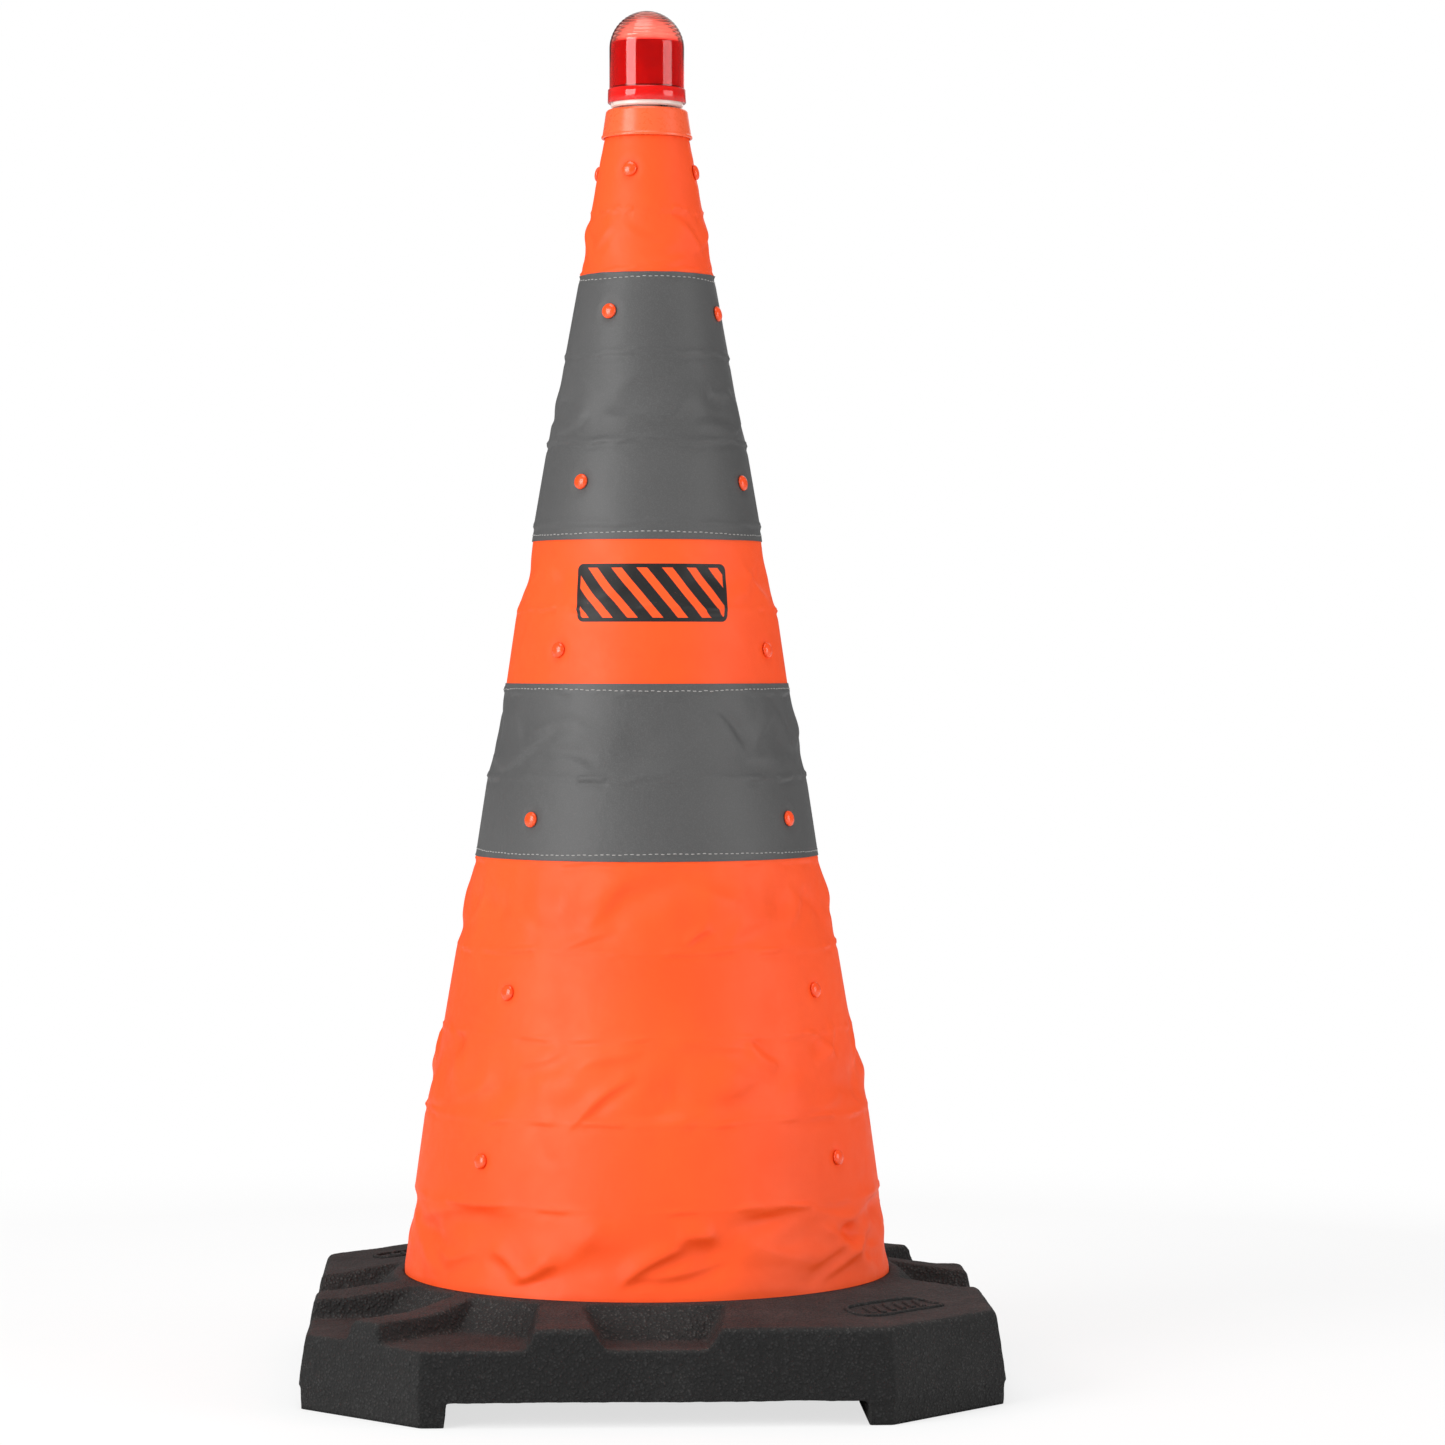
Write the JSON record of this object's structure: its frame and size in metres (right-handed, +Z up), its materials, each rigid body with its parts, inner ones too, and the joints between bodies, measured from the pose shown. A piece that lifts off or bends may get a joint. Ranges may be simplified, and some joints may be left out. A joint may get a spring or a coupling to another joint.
{
  "type": "collapsible traffic cone",
  "caption": "Collapsible orange fabric traffic cone with grey reflective bands, riveted nesting hoops, black rubber base and a red plug-in warning lamp.",
  "frame": {"origin": "on the cone's axis, at the underside of the corner feet", "axes": "+Z up along the cone's axis, -Y towards the front face, +X to the right seen from the front"},
  "size_m": [0.38, 0.38, 0.7651],
  "materials": {
    "recycled_rubber": "pebbled matt black recycled rubber",
    "tray_plastic": "moulded black polypropylene",
    "steel_screws": "zinc plated",
    "orange_cloth": "fluorescent orange coated polyester weave",
    "reflective_cloth": "grey glass-bead reflective tape cloth",
    "spring_steel": "drawn spring wire, oiled",
    "hoop_plastic": "moulded orange polypropylene",
    "orange_plastic": "satin moulded orange plastic",
    "black_plastic": "moulded black plastic",
    "white_plastic": "translucent milky white moulding",
    "red_lens": "clear red ribbed acrylic lens",
    "circuit_board": "green solder resist",
    "led_resin": "clear epoxy",
    "red_optic_plastic": "red polycarbonate",
    "battery_can": "plain printed wrap",
    "contact_brass": "stamped contact"
  },
  "bodies": {
    "base": {"base_moulding": "recycled_rubber", "hem_tray": "tray_plastic", "tray_screws": "steel_screws", "sleeve_hem": "orange_cloth", "coil_spring": "spring_steel", "spring_clips": "tray_plastic", "sleeve_fold_1": "orange_cloth"},
    "ring_1": {"hoop_1": "hoop_plastic", "hoop_1_rivets": "orange_plastic", "sleeve_panel_1": "orange_cloth", "sleeve_fold_2": "orange_cloth"},
    "ring_2": {"hoop_2": "hoop_plastic", "hoop_2_rivets": "orange_plastic", "sleeve_panel_2": "orange_cloth", "sleeve_fold_3": "orange_cloth"},
    "ring_3": {"hoop_3": "hoop_plastic", "hoop_3_rivets": "orange_plastic", "sleeve_panel_3": "orange_cloth", "sleeve_fold_4": "orange_cloth", "band_panel_3": "reflective_cloth", "band_fold_4": "reflective_cloth"},
    "ring_4": {"hoop_4": "hoop_plastic", "hoop_4_rivets": "orange_plastic", "sleeve_panel_4": "orange_cloth", "sleeve_fold_5": "orange_cloth", "band_fold_5": "reflective_cloth"},
    "ring_5": {"hoop_5": "hoop_plastic", "hoop_5_rivets": "orange_plastic", "sleeve_panel_5": "orange_cloth", "sleeve_fold_6": "orange_cloth", "band_panel_5": "reflective_cloth", "band_fold_6": "reflective_cloth"},
    "ring_6": {"hoop_6": "hoop_plastic", "hoop_6_rivets": "orange_plastic", "sleeve_panel_6": "orange_cloth", "sleeve_fold_7": "orange_cloth", "band_panel_6": "reflective_cloth"},
    "ring_7": {"hoop_7": "hoop_plastic", "hoop_7_rivets": "orange_plastic", "sleeve_panel_7": "orange_cloth", "top_collar": "orange_plastic", "lamp_socket": "black_plastic"},
    "lamp": {"lamp_stem": "white_plastic", "lamp_lens": "red_lens", "switch_board": "circuit_board", "tactile_switch": "black_plastic", "led_plate": "circuit_board", "leds": "led_resin", "inner_optic": "red_optic_plastic", "battery_cells": "battery_can", "contact_plate": "contact_brass"},
    "lamp_switch": {"switch_button": "black_plastic"},
    "lamp_cap": {"battery_cap": "white_plastic", "cap_contact": "contact_brass"}
  },
  "joints": [
    {"name": "collapse_1", "type": "slide", "parent": "base", "child": "ring_1", "axis": [0, 0, 1], "range_m": [-0.078, 0], "stiffness_N_per_m": 600, "springref_m": 0.15, "deforming": ["sleeve_fold_1", "coil_spring"]},
    {"name": "collapse_2", "type": "slide", "parent": "ring_1", "child": "ring_2", "axis": [0, 0, 1], "range_m": [-0.091, 0], "deforming": ["sleeve_fold_2"]},
    {"name": "collapse_3", "type": "slide", "parent": "ring_2", "child": "ring_3", "axis": [0, 0, 1], "range_m": [-0.094, 0], "deforming": ["sleeve_fold_3"]},
    {"name": "collapse_4", "type": "slide", "parent": "ring_3", "child": "ring_4", "axis": [0, 0, 1], "range_m": [-0.093, 0], "deforming": ["sleeve_fold_4", "band_fold_4"]},
    {"name": "collapse_5", "type": "slide", "parent": "ring_4", "child": "ring_5", "axis": [0, 0, 1], "range_m": [-0.093, 0], "deforming": ["sleeve_fold_5", "band_fold_5"]},
    {"name": "collapse_6", "type": "slide", "parent": "ring_5", "child": "ring_6", "axis": [0, 0, 1], "range_m": [-0.095, 0], "deforming": ["sleeve_fold_6", "band_fold_6"]},
    {"name": "collapse_7", "type": "slide", "parent": "ring_6", "child": "ring_7", "axis": [0, 0, 1], "range_m": [-0.08, 0], "deforming": ["sleeve_fold_7"]},
    {"name": "lamp_pull", "type": "slide", "parent": "ring_7", "child": "lamp", "axis": [0, 0, 1], "range_m": [0, 0.085]},
    {"name": "switch_press", "type": "slide", "parent": "lamp", "child": "lamp_switch", "axis": [0, 0, 1], "range_m": [0, 0.001], "stiffness_N_per_m": 800, "springref_m": -0.0005},
    {"name": "cap_turn", "type": "hinge", "parent": "lamp", "child": "lamp_cap", "pos_m": [0, 0, 0.673], "axis": [0, 0, 1], "range_deg": [0, 90]}
  ],
  "couplings": [
    {"joint": "collapse_2", "follows": "collapse_1", "ratio": 1.1667},
    {"joint": "collapse_3", "follows": "collapse_1", "ratio": 1.2051},
    {"joint": "collapse_4", "follows": "collapse_1", "ratio": 1.1923},
    {"joint": "collapse_5", "follows": "collapse_1", "ratio": 1.1923},
    {"joint": "collapse_6", "follows": "collapse_1", "ratio": 1.2179},
    {"joint": "collapse_7", "follows": "collapse_1", "ratio": 1.0256}
  ]
}
